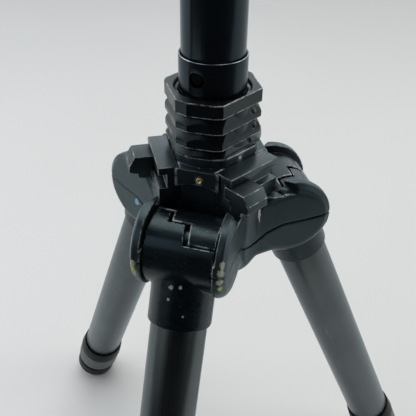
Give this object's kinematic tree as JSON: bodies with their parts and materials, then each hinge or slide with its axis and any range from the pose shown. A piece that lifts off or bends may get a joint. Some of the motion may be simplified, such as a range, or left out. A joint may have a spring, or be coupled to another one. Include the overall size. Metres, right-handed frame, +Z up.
{
  "type": "compact camera tripod",
  "caption": "Small folding camera tripod with telescoping twist-lock legs, clamshell hub with angle selectors and a ribbed nut on the centre column.",
  "frame": {"origin": "on the centre column's axis, on the ground that the three feet stand on", "axes": "+Z up along the centre column; the front leg points at azimuth -105.7 degrees, the right leg at 14.3 and the left leg at 134.3, measured from +X towards +Y"},
  "size_m": [0.2307, 0.232, 0.3814],
  "materials": {
    "casting": "satin gunmetal paint over a die casting",
    "guide": "black paint worn to metal along the edges",
    "selector": "satin black with bright worn edges",
    "knuckle": "glossy blue-black enamel with small chips",
    "leg_tube": "satin grey anodised",
    "inner_tube": "satin dark anodised",
    "column": "satin blue-black anodised",
    "nut": "dusty satin black moulding",
    "black_plastic": "matt black moulding",
    "pad_rubber": "matt black rubber",
    "grip_rubber": "matt grey rubber",
    "foot_rubber": "matt grey rubber with scuffs",
    "brass": "bright",
    "steel": "satin"
  },
  "bodies": {
    "hub": {"hub_upper_shell": "casting", "hub_lower_shell": "casting", "angle_guide_front": "guide", "hub_screw_front": "steel", "hub_pin_front": "brass", "hinge_pin_front": "steel", "angle_guide_right": "guide", "hub_screw_right": "steel", "hub_pin_right": "brass", "hinge_pin_right": "steel", "angle_guide_left": "guide", "hub_screw_left": "steel", "hub_pin_left": "brass", "hinge_pin_left": "steel"},
    "lock_nut": {"column_lock_nut": "nut"},
    "collet": {"column_collet": "nut"},
    "column": {"column_lower_tube": "column", "column_upper_tube": "column", "column_set_screw": "steel", "column_end_cap": "black_plastic", "head_platform": "casting", "platform_pad": "pad_rubber", "camera_stud": "steel"},
    "selector_front": {"angle_selector_front": "selector", "selector_spring_front": "steel"},
    "stop_front": {"stop_sleeve_front": "knuckle"},
    "leg_front": {"leg_knuckle_front": "knuckle", "leg_tube_front": "leg_tube", "leg_end_ring_front": "black_plastic"},
    "section_2_front": {"leg_section_2_front": "inner_tube"},
    "section_3_front": {"leg_section_3_front": "inner_tube"},
    "foot_front": {"foot_grip_front": "grip_rubber", "rubber_foot_front": "foot_rubber"},
    "selector_right": {"angle_selector_right": "selector", "selector_spring_right": "steel"},
    "stop_right": {"stop_sleeve_right": "knuckle"},
    "leg_right": {"leg_knuckle_right": "knuckle", "leg_tube_right": "leg_tube", "leg_end_ring_right": "black_plastic"},
    "section_2_right": {"leg_section_2_right": "inner_tube"},
    "section_3_right": {"leg_section_3_right": "inner_tube"},
    "foot_right": {"foot_grip_right": "grip_rubber", "rubber_foot_right": "foot_rubber"},
    "selector_left": {"angle_selector_left": "selector", "selector_spring_left": "steel"},
    "stop_left": {"stop_sleeve_left": "knuckle"},
    "leg_left": {"leg_knuckle_left": "knuckle", "leg_tube_left": "leg_tube", "leg_end_ring_left": "black_plastic"},
    "section_2_left": {"leg_section_2_left": "inner_tube"},
    "section_3_left": {"leg_section_3_left": "inner_tube"},
    "foot_left": {"foot_grip_left": "grip_rubber", "rubber_foot_left": "foot_rubber"}
  },
  "joints": [
    {"name": "lock_nut_turn", "type": "hinge", "parent": "hub", "child": "lock_nut", "pos_m": [0, 0, 0.2626], "axis": [0, 0, 1], "range_deg": [0, 120]},
    {"name": "column_turn", "type": "hinge", "parent": "hub", "child": "collet", "pos_m": [0, 0, 0.25], "axis": [0, 0, 1], "continuous": true},
    {"name": "column_lift", "type": "slide", "parent": "collet", "child": "column", "axis": [0, 0, 1], "range_m": [-0.08, 0.02]},
    {"name": "selector_slide_front", "type": "slide", "parent": "hub", "child": "selector_front", "axis": [0.7157, 0.6984, 0], "range_m": [0, 0.016]},
    {"name": "stop_turn_front", "type": "hinge", "parent": "hub", "child": "stop_front", "pos_m": [-0.00904, -0.03215, 0.21446], "axis": [-0.9627, 0.2706, 0], "range_deg": [0, 56]},
    {"name": "leg_fold_front", "type": "hinge", "parent": "stop_front", "child": "leg_front", "pos_m": [-0.00904, -0.03215, 0.21446], "axis": [-0.9627, 0.2706, 0], "range_deg": [-23.4, 0]},
    {"name": "section_2_slide_front", "type": "slide", "parent": "leg_front", "child": "section_2_front", "axis": [-0.1075, -0.3823, -0.9178], "range_m": [0, 0.15]},
    {"name": "section_3_slide_front", "type": "slide", "parent": "section_2_front", "child": "section_3_front", "axis": [-0.1075, -0.3823, -0.9178], "range_m": [0, 0.15]},
    {"name": "foot_twist_front", "type": "hinge", "parent": "section_3_front", "child": "foot_front", "pos_m": [-0.03214, -0.11435, 0.01714], "axis": [-0.1075, -0.3823, -0.9178], "range_deg": [0, 90]},
    {"name": "selector_slide_right", "type": "slide", "parent": "hub", "child": "selector_right", "axis": [-0.9627, 0.2706, 0], "range_m": [0, 0.016]},
    {"name": "stop_turn_right", "type": "hinge", "parent": "hub", "child": "stop_right", "pos_m": [0.03236, 0.00825, 0.21446], "axis": [0.247, -0.969, 0], "range_deg": [0, 56]},
    {"name": "leg_fold_right", "type": "hinge", "parent": "stop_right", "child": "leg_right", "pos_m": [0.03236, 0.00825, 0.21446], "axis": [0.247, -0.969, 0], "range_deg": [-23.4, 0]},
    {"name": "section_2_slide_right", "type": "slide", "parent": "leg_right", "child": "section_2_right", "axis": [0.3848, 0.0981, -0.9178], "range_m": [0, 0.15]},
    {"name": "section_3_slide_right", "type": "slide", "parent": "section_2_right", "child": "section_3_right", "axis": [0.3848, 0.0981, -0.9178], "range_m": [0, 0.15]},
    {"name": "foot_twist_right", "type": "hinge", "parent": "section_3_right", "child": "foot_right", "pos_m": [0.11511, 0.02934, 0.01714], "axis": [0.3848, 0.0981, -0.9178], "range_deg": [0, 90]},
    {"name": "selector_slide_left", "type": "slide", "parent": "hub", "child": "selector_left", "axis": [0.247, -0.969, 0], "range_m": [0, 0.016]},
    {"name": "stop_turn_left", "type": "hinge", "parent": "hub", "child": "stop_left", "pos_m": [-0.02333, 0.0239, 0.21446], "axis": [0.7157, 0.6984, 0], "range_deg": [0, 56]},
    {"name": "leg_fold_left", "type": "hinge", "parent": "stop_left", "child": "leg_left", "pos_m": [-0.02333, 0.0239, 0.21446], "axis": [0.7157, 0.6984, 0], "range_deg": [-23.4, 0]},
    {"name": "section_2_slide_left", "type": "slide", "parent": "leg_left", "child": "section_2_left", "axis": [-0.2774, 0.2842, -0.9178], "range_m": [0, 0.15]},
    {"name": "section_3_slide_left", "type": "slide", "parent": "section_2_left", "child": "section_3_left", "axis": [-0.2774, 0.2842, -0.9178], "range_m": [0, 0.15]},
    {"name": "foot_twist_left", "type": "hinge", "parent": "section_3_left", "child": "foot_left", "pos_m": [-0.08296, 0.08501, 0.01714], "axis": [-0.2774, 0.2842, -0.9178], "range_deg": [0, 90]}
  ]
}
